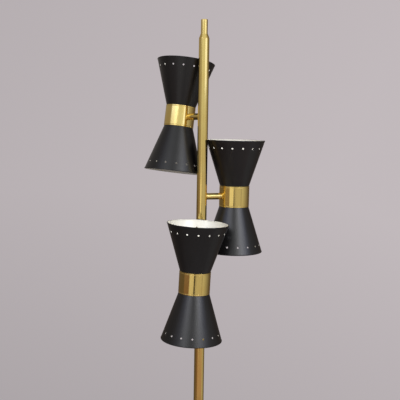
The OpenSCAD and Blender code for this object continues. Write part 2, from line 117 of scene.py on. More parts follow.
PLACES = {name: head_place(name) for name in HEADS}
MOUTH_R, BASE_HOLE_R, NECK_Z, HALF_HEAD = ring_sizes("middle_up_shade", PLACES["middle"])
BAND_R, BAND_IN, _, HALF_BAND = ring_sizes("middle_band", PLACES["middle"])
POLE_R, POLE_IN, _, POLE_TOP = ring_sizes("upper_tube")
PUSH_FIT = 0.05 * MM
NECK_R = BAND_IN - PUSH_FIT
print("radii in mm: mouth", in_mm(MOUTH_R), "band", in_mm(BAND_R), "pole", in_mm(POLE_R))
print("heights in mm: half a head", in_mm(HALF_HEAD), "half a band", in_mm(HALF_BAND),
      "start of the neck", in_mm(NECK_Z))

# %% [markdown]
# ## The camera
#
# The camera stands where the photograph was taken: level with the heads, 1.7 m away,
# looking a little down. It was found by matching the edges of the cones and the pole,
# so it carries a slight roll, which makes the pole lean as it does in the picture.

# %% Place the camera
CAMERA_BACK = 1.69925
CAMERA_HEIGHT = 2.1968
LOOK_DOWN = math.radians(5.287)
LOOK_ASIDE = math.radians(-0.1326)
ROLL = math.radians(0.89)
LENS = 64.8


def make_camera():
    ahead = Vector((math.sin(LOOK_ASIDE) * math.cos(LOOK_DOWN),
                    math.cos(LOOK_ASIDE) * math.cos(LOOK_DOWN), -math.sin(LOOK_DOWN)))
    level = Vector((math.cos(LOOK_ASIDE), -math.sin(LOOK_ASIDE), 0))
    upright = level.cross(ahead)
    right = level * math.cos(ROLL) + upright * math.sin(ROLL)
    up = upright * math.cos(ROLL) - level * math.sin(ROLL)
    turn = Matrix((right, up, -ahead)).transposed().to_4x4()
    turn.translation = Vector((0, -CAMERA_BACK, CAMERA_HEIGHT))
    camera = bpy.data.objects.new("camera", bpy.data.cameras.new("camera"))
    camera.data.lens = LENS
    camera.matrix_world = turn
    scene.collection.objects.link(camera)
    scene.camera = camera
    return camera


print("camera at", [round(c, 3) for c in make_camera().matrix_world.translation])

# %% [markdown]
# ## Writing shader maths as Python
#
# A finish is a small network of nodes. Joined by hand it is hard to read, so a thin
# class wraps a socket and lets ordinary signs add the Math nodes: `1 - mask * 0.3`.
# Every other node comes from one method that sets the node's options first and then
# fills or links its sockets.

# %% A socket that can be used in an expression
class Wire:
    """One output of a node, with the arithmetic that the finishes below use."""

    def __init__(self, tree, socket):
        self.tree = tree
        self.socket = socket

    def node(self, kind, options=None, output=0, **inputs):
        made = self.tree.nodes.new(kind)
        for key, value in (options or {}).items():
            setattr(made, key, value)
        for key, value in inputs.items():
            name = int(key[1:]) if key[1:].isdigit() else key.replace("_", " ")
            if isinstance(value, Wire):
                self.tree.links.new(value.socket, made.inputs[name])
            else:
                made.inputs[name].default_value = value
        return Wire(self.tree, made.outputs[output])

    def maths(self, operation, first, second):
        return self.node("ShaderNodeMath", {"operation": operation}, i0=first, i1=second)

    def __add__(self, other):
        return self.maths("ADD", self, other)

    __radd__ = __add__

    def __sub__(self, other):
        return self.maths("SUBTRACT", self, other)

    def __rsub__(self, other):
        return self.maths("SUBTRACT", other, self)

    def __mul__(self, other):
        return self.maths("MULTIPLY", self, other)

    __rmul__ = __mul__

    def between(self, low, high):
        """0 below low, 1 above high, and a straight slope in between."""
        return self.node("ShaderNodeMapRange", {"clamp": True},
                         Value=self, From_Min=low, From_Max=high)

    def blend(self, first, second):
        """A colour that goes from the first to the second as this goes from 0 to 1."""
        return self.node("ShaderNodeMix", {"data_type": "RGBA"}, output=2,
                         i0=self, i6=first, i7=second)


def colour(red, green, blue):
    return (red, green, blue, 1)


print("signs that a wire understands: + - *")

# %% [markdown]
# ## Backdrop and floor
#
# The photograph has a plain pinkish-grey backdrop that darkens a little towards the
# bottom and the left. The world gives it to the camera and to reflections by Light Path,
# and lights matt surfaces with a plain grey. The floor is a pale disc under the foot,
# which keeps the lamp's shadow and thins out to nothing at its edge, so that no horizon
# shows. It ends before the part that the camera sees beyond the lamp, where the picture
# has no floor.

# %% The world
PAPER = colour(0.535, 0.487, 0.503)
PAPER_DIM = colour(0.375, 0.345, 0.357)
FILL = 0.25
FILL_TINT = colour(1.0, 0.97, 0.98)
# The backdrop brightens to the right, rises from the bottom and falls off a little at
# the top. A span is of the ray's height, where 0 is level and 1 is straight up.
BASE_GAIN, ASIDE_GAIN = 0.32, 0.75
RISE_SPAN, RISE_GAIN = (-0.42, -0.08), 0.55
FALL_SPAN, FALL_LOSS = (-0.05, 0.3), 0.12


def light_path(tree):
    """1 for rays that look at the backdrop: from the camera, a metal or glass."""
    path = tree.nodes.new("ShaderNodeLightPath")
    camera, glossy, through = (Wire(tree, path.outputs[name]) for name in
                               ("Is Camera Ray", "Is Glossy Ray", "Is Transmission Ray"))
    return (camera + glossy + through).between(0, 1)


def make_world():
    world = bpy.data.worlds.new("studio")
    world.use_nodes = True
    scene.world = world
    tree = world.node_tree
    tree.nodes.clear()
    ray = Wire(tree, tree.nodes.new("ShaderNodeTexCoord").outputs["Generated"])
    aside = ray.node("ShaderNodeSeparateXYZ", output=0, Vector=ray)
    height = ray.node("ShaderNodeSeparateXYZ", output=2, Vector=ray)
    rise = height.between(*RISE_SPAN) * RISE_GAIN
    fall = height.between(*FALL_SPAN) * FALL_LOSS
    gain = aside * ASIDE_GAIN + rise - fall
    paper = (gain + BASE_GAIN).between(0, 1).blend(PAPER_DIM, PAPER)
    shown = paper.node("ShaderNodeBackground", Color=paper, Strength=1.0)
    fill = paper.node("ShaderNodeBackground", Color=FILL_TINT, Strength=FILL)
    mixed = paper.node("ShaderNodeMixShader", i0=light_path(tree), i1=fill, i2=shown)
    out = tree.nodes.new("ShaderNodeOutputWorld")
    tree.links.new(mixed.socket, out.inputs["Surface"])


make_world()
print("backdrop", [round(c, 2) for c in PAPER[:3]])

# %% The floor
FLOOR_R = 3.4
FADE_START, FADE_END = 1.0, FLOOR_R - 0.1
FLOOR = colour(0.46, 0.42, 0.43)
FLOOR_PALE = colour(*(c * 1.03 for c in FLOOR[:3]))


def floor_finish():
    made = bpy.data.materials.new("floor")
    made.use_nodes = True
    tree = made.node_tree
    point = Wire(tree, tree.nodes.new("ShaderNodeTexCoord").outputs["Object"])
    reach = point.node("ShaderNodeVectorMath", {"operation": "LENGTH"}, output=1, i0=point)
    grain = point.node("ShaderNodeTexNoise", Vector=point, Scale=30.0, Detail=3.0)
    shader = tree.nodes["Principled BSDF"]
    shader.inputs["Roughness"].default_value = 0.8
    speckle = grain.between(0.3, 0.7).blend(FLOOR, FLOOR_PALE)
    tree.links.new(speckle.socket, shader.inputs["Base Color"])
    mixed = point.node("ShaderNodeMixShader", i0=reach.between(FADE_START, FADE_END),
                       i1=Wire(tree, shader.outputs[0]),
                       i2=point.node("ShaderNodeBsdfTransparent"))
    tree.links.new(mixed.socket, tree.nodes["Material Output"].inputs["Surface"])
    return made


def stage_object(name, bm, finish):
    mesh = bpy.data.meshes.new(name)
    bm.to_mesh(mesh)
    bm.free()
    mesh.materials.append(finish)
    thing = bpy.data.objects.new(name, mesh)
    scene.collection.objects.link(thing)
    return thing


floor_mesh = bmesh.new()
bmesh.ops.create_circle(floor_mesh, cap_ends=True, radius=FLOOR_R, segments=128)
stage_object("floor", floor_mesh, floor_finish())
print("floor radius", FLOOR_R, "m")

# %% [markdown]
# ## Lamps
#
# Brass shows what stands round it, so the lamps are shaped for their reflections. A wide
# softbox high at the right draws the bright band down the lower cones, and a weaker one
# at the left draws a second band. The two also give the white insides most of their
# light, and a faint one overhead fills in what they leave dark.

# %% Softboxes
AIM = Vector((0, 0, 2.05))


def around(azimuth, elevation, distance):
    """A point round the heads. Azimuth 0 is towards the camera, and 90 to its right."""
    a, e = math.radians(azimuth), math.radians(elevation)
    level = math.cos(e)
    ahead = Vector((math.sin(a) * level, -math.cos(a) * level, math.sin(e)))
    return AIM + distance * ahead


def softbox(name, azimuth, elevation, distance, width, height, radiance):
    lamp = bpy.data.lights.new(name, "AREA")
    lamp.shape = "RECTANGLE"
    lamp.size, lamp.size_y = width, height
    lamp.energy = radiance * math.pi * width * height
    thing = bpy.data.objects.new(name, lamp)
    place = around(azimuth, elevation, distance)
    thing.matrix_world = Matrix.LocRotScale(place, (AIM - place).to_track_quat("-Z", "Y"), None)
    thing.visible_camera = False
    scene.collection.objects.link(thing)


softbox("right_softbox", 36, 25, 5.0, 2.5, 0.9, 20.0)
softbox("left_softbox", -27, 25, 5.0, 1.8, 0.9, 14.0)
softbox("overhead", 0, 90, 2.2, 2.4, 2.4, 0.25)

# %% [markdown]
# ## Cards
#
# A photographer stands white and dark cards round polished metal, so that its edges go
# dark and its middle stays bright. Each card here is part of a drum round the lamp, and
# only reflections see it: it lights nothing and throws no shadow. Two tall bright ones
# stand for windows, a darker one for the floor boards and narrow ones for the camera's
# stand and the posts of a doorway. What a curved mirror shows of them is thin upright
# lines. A low dim one close by stands for the floor near the lamp, which the upper
# cones mirror: it keeps them dark.

# %% Cards round the lamp
def card(name, azimuths, heights, fade, low, high, reach=3.0, axis=2):
    """Part of a drum. Its colour goes from low to high over the span fade of height, or of
    depth when axis is 1. Heights count from the point that the softboxes face."""
    made = bpy.data.materials.new(name)
    made.use_nodes = True
    tree = made.node_tree
    tree.nodes.clear()
    point = Wire(tree, tree.nodes.new("ShaderNodeTexCoord").outputs["Object"])
    place = point.node("ShaderNodeSeparateXYZ", output=axis, Vector=point)
    shade = place.between(AIM[axis] + fade[0], AIM[axis] + fade[1]).blend(low, high)
    glow = shade.node("ShaderNodeEmission", Color=shade, Strength=1.0)
    out = tree.nodes.new("ShaderNodeOutputMaterial")
    tree.links.new(glow.socket, out.inputs["Surface"])
    bm = bmesh.new()
    start = around(azimuths[0], 0, reach)
    ends = [bm.verts.new(start + Vector((0, 0, h))) for h in heights]
    line = [bm.edges.new(ends)]
    bmesh.ops.spin(bm, geom=ends + line, cent=AIM, axis=(0, 0, 1),
                   angle=math.radians(azimuths[1] - azimuths[0]), steps=24)
    thing = stage_object(name, bm, made)
    thing.visible_camera = thing.visible_diffuse = thing.visible_shadow = False
    thing.visible_transmission = False


ROOM = colour(0.53, 0.51, 0.49)
WALL = colour(0.72, 0.74, 0.74)
WINDOW = colour(1.17, 1.28, 1.80)
BOARDS = colour(0.42, 0.28, 0.25)
POST = colour(0.36, 0.34, 0.32)
STAND = colour(0.03, 0.025, 0.02)
DARK = colour(0.115, 0.09, 0.075)
DARK_TOP = colour(0.31, 0.28, 0.26)
PALE_LOW, PALE = colour(0.52, 0.49, 0.46), colour(0.95, 0.9, 0.84)
SIDE_LOW, SIDE = colour(0.20, 0.12, 0.09), colour(0.44, 0.42, 0.39)
NEAR_LOW, NEAR = colour(0.22, 0.20, 0.19), colour(0.27, 0.25, 0.24)
card("wall_card", (-62, 66), (-1.0, 5.0), (-0.1, 0.7), ROOM, WALL)
card("boards_card", (-62, 66), (-3.0, -1.0), (-1.45, -1.0), BOARDS, ROOM)
card("left_window_card", (-70, -16), (0.85, 2.0), (0.8, 2.2), WINDOW, WINDOW, 2.9)
card("right_window_card", (30, 70), (0.42, 2.0), (0.8, 2.2), WINDOW, WINDOW, 2.9)
card("pale_card", (-36.5, -6.5), (-1.0, -0.12), (-1.0, -0.12), PALE_LOW, PALE, 2.8)
card("stand_card", (-6.0, 4.0), (-1.2, -0.22), (-0.5, -0.25), STAND, POST, 2.8)
card("first_post_card", (9, 12), (-1.0, 0.25), (-1.0, 0.0), POST, POST, 2.8)
card("second_post_card", (51, 57), (-1.0, 0.25), (-1.0, 0.0), POST, POST, 2.8)
card("left_side_card", (-78, -38), (-3.0, 0.75), (-0.8, 0.6), SIDE_LOW, SIDE, 2.9)
card("left_card", (-165, -76), (-3.0, 3.5), (-0.37, 0.5), DARK, DARK_TOP)
card("right_card", (64, 165), (-3.0, 3.5), (-1.3, 1.8), ROOM, DARK, 3.0, 1)
card("low_card", (-75, 75), (-2.0, -1.15), (-2.0, -1.15), NEAR_LOW, NEAR, 1.7)

# %% [markdown]
# ## How a finish starts
#
# A finish starts from a Principled shader and the point on the piece. The point is in
# metres in the lamp's own frame. A Mapping node turns it into millimetres in the frame
# of the piece, so that the lines of a turned band run square to its own axis and not to
# the floor.

# %% Start a finish
def start_finish(name, place=Matrix.Identity(4)):
    """A new material, its Principled shader and the wire of the point in millimetres."""
    made = bpy.data.materials.new(name)
    made.use_nodes = True
    tree = made.node_tree
    point = Wire(tree, tree.nodes.new("ShaderNodeTexCoord").outputs["Object"])
    back = place.inverted()
    point = point.node("ShaderNodeMapping", {"vector_type": "POINT"}, Vector=point,
                       Location=back.translation / MM, Rotation=back.to_euler(),
                       Scale=(1 / MM, 1 / MM, 1 / MM))
    return made, tree.nodes["Principled BSDF"], point


def set_shader(shader, **values):
    """Sets sockets to plain values, or links a wire to them."""
    for key, value in values.items():
        socket = shader.inputs[key.replace("_", " ")]
        if isinstance(value, Wire):
            value.tree.links.new(value.socket, socket)
        else:
            socket.default_value = value


def noise(point, scale, detail=3.0, roughness=0.55, stretch=(1, 1, 1)):
    """Noise with about scale patches to the millimetre, squeezed along an axis by stretch."""
    spread = point.node("ShaderNodeVectorMath", {"operation": "MULTIPLY"}, i0=point, i1=stretch)
    return spread.node("ShaderNodeTexNoise", Vector=spread, Scale=scale, Detail=detail,
                       Roughness=roughness)


def bumped(height, depth, strength=1.0):
    """A normal for relief of the given depth in millimetres."""
    return height.node("ShaderNodeBump", Height=height, Distance=depth * MM, Strength=strength)


print("a finish measures in millimetres")

# %% [markdown]
# ## Satin brass
#
# The pole, arms and waist bands are drawn or turned brass under clear lacquer. Close up,
# such brass has fine lines in the direction in which it was worked: along a drawn tube,
# and round a turned band. The lines are noise drawn out fifty to eighty times that way.
# They vary the roughness and lift the surface by a few thousandths of a millimetre. A
# slow clouding makes the colour a little redder where the lacquer has aged.

# %% Brass
BRASS_LIGHT = colour(0.90, 0.71, 0.25)
BRASS_WARM = colour(0.84, 0.61, 0.19)
DRAWN_ALONG = (1, 1, 0.012)
TURNED_ROUND = (0.02, 0.02, 1)


def brass(name, place=Matrix.Identity(4), along=True, rough=0.10):
    made, shader, point = start_finish(name, place)
    lines = noise(point, 1.6, 4.0, 0.6, DRAWN_ALONG if along else TURNED_ROUND)
    tone = noise(point, 0.02, 2.0, 0.5).between(0.35, 0.65)
    specks = noise(point, 0.35, 2.0, 0.5).between(0.62, 0.74)
    set_shader(shader, Metallic=1.0,
               Base_Color=(tone * 0.6 + lines * 0.4).blend(BRASS_WARM, BRASS_LIGHT),
               Roughness=(lines - 0.5) * 0.07 + (1 - tone) * 0.02 + specks * 0.03 + rough,
               Normal=bumped(lines, 0.004, 0.6))
    return made


DRAWN_BRASS = brass("drawn_brass")
TURNED_BRASS = brass("turned_brass", along=False)
INNER_BRASS = brass("inner_brass", rough=0.32)
HEAD_BRASS = {name: brass(f"{name}_band_brass", PLACES[name], along=False, rough=0.12)
              for name in HEADS}
print("brass finishes:", 3 + len(HEAD_BRASS))

# %% [markdown]
# ## Satin black outside, white enamel inside
#
# The cones are sprayed. The black is nearly a true black with a soft sheen, and the
# spray leaves a texture like very fine orange peel, a fraction of a millimetre across.
# Handling leaves faintly glossier patches. The white inside is the same paint shop's
# enamel: glossier, slightly warm, and with the same fine texture. The peel is relief;
# the patches mostly touch the roughness, because a black that changes colour looks dirty.

# %% Paint
def paint(name, dark, light, rough, spread, sheen):
    made, shader, point = start_finish(name)
    peel = noise(point, 1.1, 2.0, 0.5)
    fine = noise(point, 4.0, 1.0, 0.5)
    patches = noise(point, 0.035, 3.0, 0.6).between(0.4, 0.66)
    set_shader(shader, Base_Color=(peel * 0.3 + patches * 0.7).blend(dark, light),
               Roughness=patches * -spread + fine * 0.06 + rough,
               Specular_IOR_Level=sheen,
               Normal=bumped(peel * 0.7 + fine * 0.3, 0.012, 0.5))
    return made


BLACK = paint("satin_black", colour(0.0045, 0.0043, 0.0046),
              colour(0.0070, 0.0066, 0.0071), 0.31, 0.05, 0.47)
WHITE = paint("white_enamel", colour(0.86, 0.845, 0.78),
              colour(0.90, 0.885, 0.82), 0.34, 0.06, 0.5)
print("paints:", BLACK.name, WHITE.name)

# %% [markdown]
# ## The plainer finishes
#
# Zinc-plated steel, cream moulded plastic, rubber, red-brown vulcanised fibre and opal
# glass are small or hidden, but they show when a head is seen from above or the lamp is
# taken apart, so each still has its own colour, gloss and grain.

# %% Small finishes
def simple(name, dark, light, rough, metal=0.0, grain=0.8, depth=0.01, **sockets):
    made, shader, point = start_finish(name)
    mottle = noise(point, grain, 3.0, 0.55)
    set_shader(shader, Base_Color=mottle.between(0.3, 0.7).blend(dark, light), Metallic=metal,
               Roughness=(mottle - 0.5) * 0.2 + rough, Normal=bumped(mottle, depth, 0.5),
               **sockets)
    return made


STEEL = simple("zinc_steel", colour(0.42, 0.43, 0.45), colour(0.60, 0.61, 0.62), 0.34,
               metal=1.0, grain=0.5)
CAP = simple("cap_metal", colour(0.62, 0.62, 0.61), colour(0.74, 0.74, 0.73), 0.26,
             metal=1.0, grain=0.6)
CREAM = simple("cream_plastic", colour(0.72, 0.68, 0.58), colour(0.78, 0.75, 0.66), 0.38)
RUBBER = simple("black_rubber", colour(0.012, 0.012, 0.012), colour(0.03, 0.03, 0.03), 0.75,
                grain=1.6, depth=0.05)
FIBRE = simple("red_fibre", colour(0.16, 0.05, 0.03), colour(0.24, 0.09, 0.05), 0.6)
OPAL = simple("opal_glass", colour(0.86, 0.85, 0.82), colour(0.90, 0.89, 0.87), 0.12,
              grain=0.3, depth=0.002, Coat_Weight=0.6, Coat_Roughness=0.04)
print("small finishes:", *(made.name for made in (STEEL, CAP, CREAM, RUBBER, FIBRE, OPAL)))

# %% [markdown]
# ## Turning a profile
#
# Almost every visible piece was made on a lathe or a spinning chuck, so one helper spins
# a line of points round the axis. A corner is eased with a small arc, because a real
# edge is never perfectly sharp, and the arc is what catches the light. Smooth shading
# would lean a whole long wall towards such an arc, and a mirror shows that at once, so a
# long straight gets an extra point just before it. The last turn is merged with the
# first, doubles are removed, and the faces are turned outwards.

# %% Lathe helpers
AROUND = 96
FULL_TURN = 2 * math.pi
MERGE = 0.002 * MM
HOLD = 0.3 * MM
MUCH_SHORTER = 0.15
open_edges = {}


def verts_of(geom):
    return [g for g in geom if isinstance(g, bmesh.types.BMVert)]


def all_of(bm):
    return bm.verts[:] + bm.edges[:] + bm.faces[:]


def eased(points, radius, steps=3, closed=True):
    """The profile with each corner replaced by an arc that starts radius from it."""
    line = [Vector(p) for p in points]
    count = len(line)
    out = []
    for k, here in enumerate(line):
        if not closed and k in (0, count - 1):
            out.append(here)
            continue
        before, after = line[k - 1] - here, line[(k + 1) % count] - here
        a = here + before.normalized() * min(radius, 0.45 * before.length)
        b = here + after.normalized() * min(radius, 0.45 * after.length)
        out += [a * (1 - t) ** 2 + here * 2 * t * (1 - t) + b * t ** 2
                for t in (s / steps for s in range(steps + 1))]
    return out


def held(points, closed):
    """The line with a point added where a long straight meets a much shorter one."""
    line = [Vector(p) for p in points]
    ends = line[1:] + line[:1] if closed else line[1:]
    steps = [b - a for a, b in zip(line, ends)]
    lengths = [step.length for step in steps]
    count = len(lengths)
    out = []
    for k, length in enumerate(lengths):
        out.append(line[k])
        close = min(HOLD, length / 3)
        if (closed or k > 0) and lengths[k - 1] < MUCH_SHORTER * length:
            out.append(line[k] + steps[k] * (close / length))
        if (closed or k < count - 1) and lengths[(k + 1) % count] < MUCH_SHORTER * length:
            out.append(line[k] + steps[k] * (1 - close / length))
    return out if closed else out + line[-1:]


def spin_line(bm, points, steps=AROUND, closed=False, turn=FULL_TURN, start=0.0):
    """Spins a line of (radius, height) points round the Z axis inside bm."""
    points = held(points, closed)
    verts = [bm.verts.new((r * math.cos(start), r * math.sin(start), z)) for r, z in points]
    pairs = zip(verts, verts[1:] + verts[:1]) if closed else zip(verts, verts[1:])
    edges = [bm.edges.new(pair) for pair in pairs]
    bmesh.ops.spin(bm, geom=verts + edges, cent=(0, 0, 0), axis=(0, 0, 1), angle=turn,
                   steps=steps, use_merge=turn == FULL_TURN)


def close_up(bm):
    """Merges the seams and poles and turns the faces outwards."""
    bmesh.ops.remove_doubles(bm, verts=bm.verts, dist=MERGE)
    bmesh.ops.dissolve_degenerate(bm, edges=bm.edges, dist=MERGE / 2)
    bmesh.ops.recalc_face_normals(bm, faces=bm.faces)
    return bm


def turned(points, closed=True, steps=AROUND):
    bm = bmesh.new()
    spin_line(bm, points, steps, closed)
    return close_up(bm)


def place_piece(name, bm, body, finishes, replaced=(), place=None, sharp=35):
    """Makes the object, sets it in place through its mesh, and ties it to its body."""
    open_edges[name] = sum(not e.is_manifold for e in bm.edges)
    if place is not None:
        bmesh.ops.transform(bm, matrix=place, verts=bm.verts)
    mesh = bpy.data.meshes.new(name)
    bm.to_mesh(mesh)
    bm.free()
    mesh.shade_smooth()
    mesh.set_sharp_from_angle(angle=math.radians(sharp))
    piece = bpy.data.objects.new(name, mesh)
    scene.collection.objects.link(piece)
    for finish in finishes:
        mesh.materials.append(finish)
    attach(piece, body)
    if replaced:
        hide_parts(*replaced)
    return piece


print("steps round a turned piece:", AROUND)

# %% [markdown]
# ## A sheet with a drilled hole
#
# The shades have rings of drilled holes, and the foot and the lowest tube have one hole
# each. A Boolean cut would leave long thin faces, which shade badly on a smooth round
# wall. Here the wall round a hole is first laid out flat as a grid of square cells. The
# middle cells come out, a circle is bridged into the gap, and the circle's edge is
# extruded down to make the hole's wall, with its mouth eased at both faces. The circle
# is lifted while it is bridged: two flat loops with one centre can be paired the wrong
# way round. The flat sheet is wrapped round the piece afterwards.

# %% Flat pierced sheet
def pierced_sheet(cell, columns, rows, gap, hole_r, depth, ease):
    """A flat sheet with a hole of radius hole_r in its middle, and a wall of that depth."""
    bm = bmesh.new()
    bmesh.ops.create_grid(bm, x_segments=columns, y_segments=rows, size=0.5,
                          matrix=Matrix.Diagonal((columns * cell, rows * cell, 1, 1)))
    reach = gap / 2 * cell
    middle = [f for f in bm.faces if max(abs(c) for c in f.calc_center_median()) < reach]
    bmesh.ops.delete(bm, geom=middle, context="FACES")
    rim = [e for e in bm.edges if e.is_boundary
           and all(max(abs(c) for c in v.co) < reach + 0.1 * cell for v in e.verts)]
    lift = Vector((0, 0, cell))
    ring = bmesh.ops.create_circle(bm, radius=hole_r + ease, segments=4 * gap,
                                   matrix=Matrix.Translation(lift))["verts"]
    loop = list({e for v in ring for e in v.link_edges})
    bridge = bmesh.ops.bridge_loops(bm, edges=rim + loop)
    bmesh.ops.translate(bm, vec=-lift, verts=ring)
    spokes = [e for e in bridge["edges"]
              if not e.is_boundary and e not in rim and e not in loop]
    bmesh.ops.subdivide_edges(bm, edges=spokes, cuts=1)
    inner = bmesh.ops.duplicate(bm, geom=all_of(bm))["geom"]
    bmesh.ops.translate(bm, vec=(0, 0, -depth), verts=verts_of(inner))
    for shrink, down in ((hole_r / (hole_r + ease), ease), (1, depth - 2 * ease),
                         ((hole_r + ease) / hole_r, ease)):
        made = bmesh.ops.extrude_edge_only(bm, edges=loop)["geom"]
        verts = verts_of(made)
        loop = [g for g in made
                if isinstance(g, bmesh.types.BMEdge) and all(v in verts for v in g.verts)]
        bmesh.ops.scale(bm, vec=(shrink, shrink, 1), verts=verts)
        bmesh.ops.translate(bm, vec=(0, 0, -down), verts=verts)
    bmesh.ops.remove_doubles(bm, verts=bm.verts, dist=MERGE)
    return bm


def spin_beside(bm, radii, cell, columns, rows, height, steps):
    """Spins the rest of the belt beside a wrapped sheet, row for row, at each radius."""
    rises = [height + (k - rows / 2) * cell for k in range(rows + 1)]
    for radius in radii:
        spin_line(bm, [(radius, z) for z in rises], steps - columns,
                  turn=FULL_TURN * (steps - columns) / steps, start=math.pi * columns / steps)


def wrap(bm, hole_r, radius, slope=0.0, height=0.0):
    """Wraps the sheet on a cone or tube whose radius is given at the hole's height."""
    for v in bm.verts:
        x, along, out = v.co
        r = radius + along * math.sin(slope) + out * math.cos(slope)
        drilled = math.hypot(x, along) < 1.2 * hole_r
        angle = math.asin(x / r) if drilled else x / radius
        v.co = (r * math.cos(angle), r * math.sin(angle),
                height + along * math.cos(slope) - out * math.sin(slope))


trial = pierced_sheet(cell=1.0 * MM, columns=12, rows=8, gap=6, hole_r=2.0 * MM,
                      depth=1.0 * MM, ease=0.1 * MM)
print("faces in a pierced sheet:", len(trial.faces),
      "edges still open at its border:", sum(e.is_boundary for e in trial.edges))
trial.free()

# %% [markdown]
# ## The pole
#
# Three lengths of brass tube meet end to end. Each is a closed ring profile, so it has a
# wall and eased ends, and a fine dark line shows where two tubes meet. The lowest tube
# is pierced at the back for the cord's rubber bush.

# %% The two upper tubes
END_EASE = 0.25 * MM


def tube_profile(outer, inner, low, high, ease=END_EASE):
    return eased([(inner, low), (outer, low), (outer, high), (inner, high)], ease)


for node in ("middle_tube", "upper_tube"):
    outer, inner, low, high = ring_sizes(node)
    place_piece(f"pole_{node}", turned(tube_profile(outer, inner, low, high)), "pole",
                [DRAWN_BRASS], [node])
    print(node, "from", round(low, 3), "to", round(high, 3))

# %% The lowest tube, with the hole for the cord
INLET_Z = middle_of(corners("cord_bush")).z
INLET_R = 5.0 * MM
INLET_PATCH, INLET_GAP = 24, 18
QUARTER_TURN = Matrix.Rotation(math.pi / 2, 3, "Z")


def lowest_tube():
    outer, inner, low, high = ring_sizes("lower_tube")
    cell = FULL_TURN * outer / AROUND
    bm = pierced_sheet(cell, INLET_PATCH, INLET_PATCH, INLET_GAP, INLET_R,
                       depth=outer - inner, ease=0.1 * MM)
    wrap(bm, INLET_R, outer, height=INLET_Z)
    half = INLET_PATCH / 2 * cell
    spin_beside(bm, (outer, inner), cell, INLET_PATCH, INLET_PATCH, INLET_Z, AROUND)
    for end, edge in ((high, INLET_Z + half), (low, INLET_Z - half)):
        spin_line(bm, eased([(outer, edge), (outer, end), (inner, end), (inner, edge)],
                            END_EASE, closed=False))
    bmesh.ops.rotate(bm, cent=(0, 0, 0), matrix=QUARTER_TURN, verts=bm.verts)
    return close_up(bm)


place_piece("pole_lower_tube", lowest_tube(), "pole", [DRAWN_BRASS], ["lower_tube"])
print("open edges in the lowest tube:", open_edges["pole_lower_tube"])

# %% [markdown]
# ## The top of the pole
#
# A turned ferrule slopes in from the pole to the thin plunger that comes out of it. The
# plunger's nose is solid brass with a flat top and a rounded edge, and it rides in and
# out with the plunger's tube.

# %% Ferrule, plunger and nose
PLUNGER_R, PLUNGER_IN, PLUNGER_LOW, PLUNGER_HIGH = ring_sizes("plunger_tube")
NOSE_ROUND, NOSE_LEAD, NOSE_EDGE = 1.6 * MM, 0.4 * MM, 0.2 * MM
FERRULE_WALL, FERRULE_STEP, FERRULE_LIP = 0.8 * MM, 0.8 * MM, 0.6 * MM
FERRULE_EASE = 0.3 * MM


def ferrule_profile():
    _, bore, low, high = ring_sizes("top_ferrule")
    rim = bore + FERRULE_WALL
    spigot = POLE_IN - PUSH_FIT
    return eased([(bore, low), (spigot, low), (spigot, POLE_TOP), (POLE_R, POLE_TOP),
                  (POLE_R, POLE_TOP + FERRULE_STEP), (rim, high - FERRULE_LIP), (rim, high),
                  (bore, high)], FERRULE_EASE)


def nose_profile():
    _, _, low, high = ring_sizes("plunger_nose")
    spigot = PLUNGER_IN - PUSH_FIT
    quarter = [math.pi / 2 * k / 8 for k in range(9)]
    rounded = [(PLUNGER_R - NOSE_ROUND * (1 - math.cos(a)),
                high - NOSE_ROUND * (1 - math.sin(a))) for a in quarter]
    stem = [(0, low), (spigot - NOSE_LEAD, low), (spigot, low + NOSE_LEAD),
            (spigot, PLUNGER_HIGH), (PLUNGER_R - NOSE_EDGE, PLUNGER_HIGH),
            (PLUNGER_R, PLUNGER_HIGH + NOSE_EDGE)]
    return stem + rounded + [(0, high)]


place_piece("pole_ferrule", turned(ferrule_profile()), "pole", [TURNED_BRASS],
            ["top_ferrule"])
sleeve = tube_profile(PLUNGER_R, PLUNGER_IN, PLUNGER_LOW, PLUNGER_HIGH, 0.15 * MM)
place_piece("plunger_sleeve", turned(sleeve), "plunger", [DRAWN_BRASS], ["plunger_tube"])
place_piece("plunger_tip", turned(nose_profile(), closed=False), "plunger", [TURNED_BRASS],
            ["plunger_nose"])
print("plunger radius", in_mm(PLUNGER_R), "mm, pole radius", in_mm(POLE_R), "mm")

# %% [markdown]
# ## The spring
#
# The spring inside the pole pushes the plunger up. Its wire is a circle that is carried
# round the axis and a little higher at each step: one turn close, sixteen turns open,
# and one more turn close. It rides with the pole, and the share of its length that is
# left with the plunger fully in is worked out but not used.

# %% The coil spring
WIRE_SIDES = 12
TURN_STEPS = 32
OPEN_TURNS = 16
CLOSE_GAP = 0.5 * MM


def spring_mesh():
    """The spring, its bottom height and its length."""
    outer, inner, low, high = ring_sizes("spring")
    wire = (outer - inner) / 2
    # The model's wire has six sides, so its top and bottom lie inside a round wire's.
    flat = wire * (1 - math.sin(math.pi / 3))
    bottom, length = low - flat, high - low + 2 * flat
    close = 2 * wire + CLOSE_GAP
    spread = (length - 2 * wire - 2 * close) / OPEN_TURNS
    bm = bmesh.new()
    stand = (Matrix.Translation((outer - wire, 0, bottom + wire))
             @ Matrix.Rotation(math.pi / 2, 4, "X"))
    geom = bmesh.ops.create_circle(bm, radius=wire, segments=WIRE_SIDES, matrix=stand)["verts"]
    geom += list({e for v in geom for e in v.link_edges})
    for turns, rise in ((1, close), (OPEN_TURNS, spread), (1, close)):
        geom = bmesh.ops.spin(bm, geom=geom, cent=(0, 0, 0), axis=(0, 0, 1),
                              angle=FULL_TURN * turns, steps=turns * TURN_STEPS,
                              dvec=(0, 0, rise / TURN_STEPS))["geom_last"]
    bmesh.ops.holes_fill(bm, edges=[e for e in bm.edges if e.is_boundary], sides=WIRE_SIDES)
    return close_up(bm), bottom, length


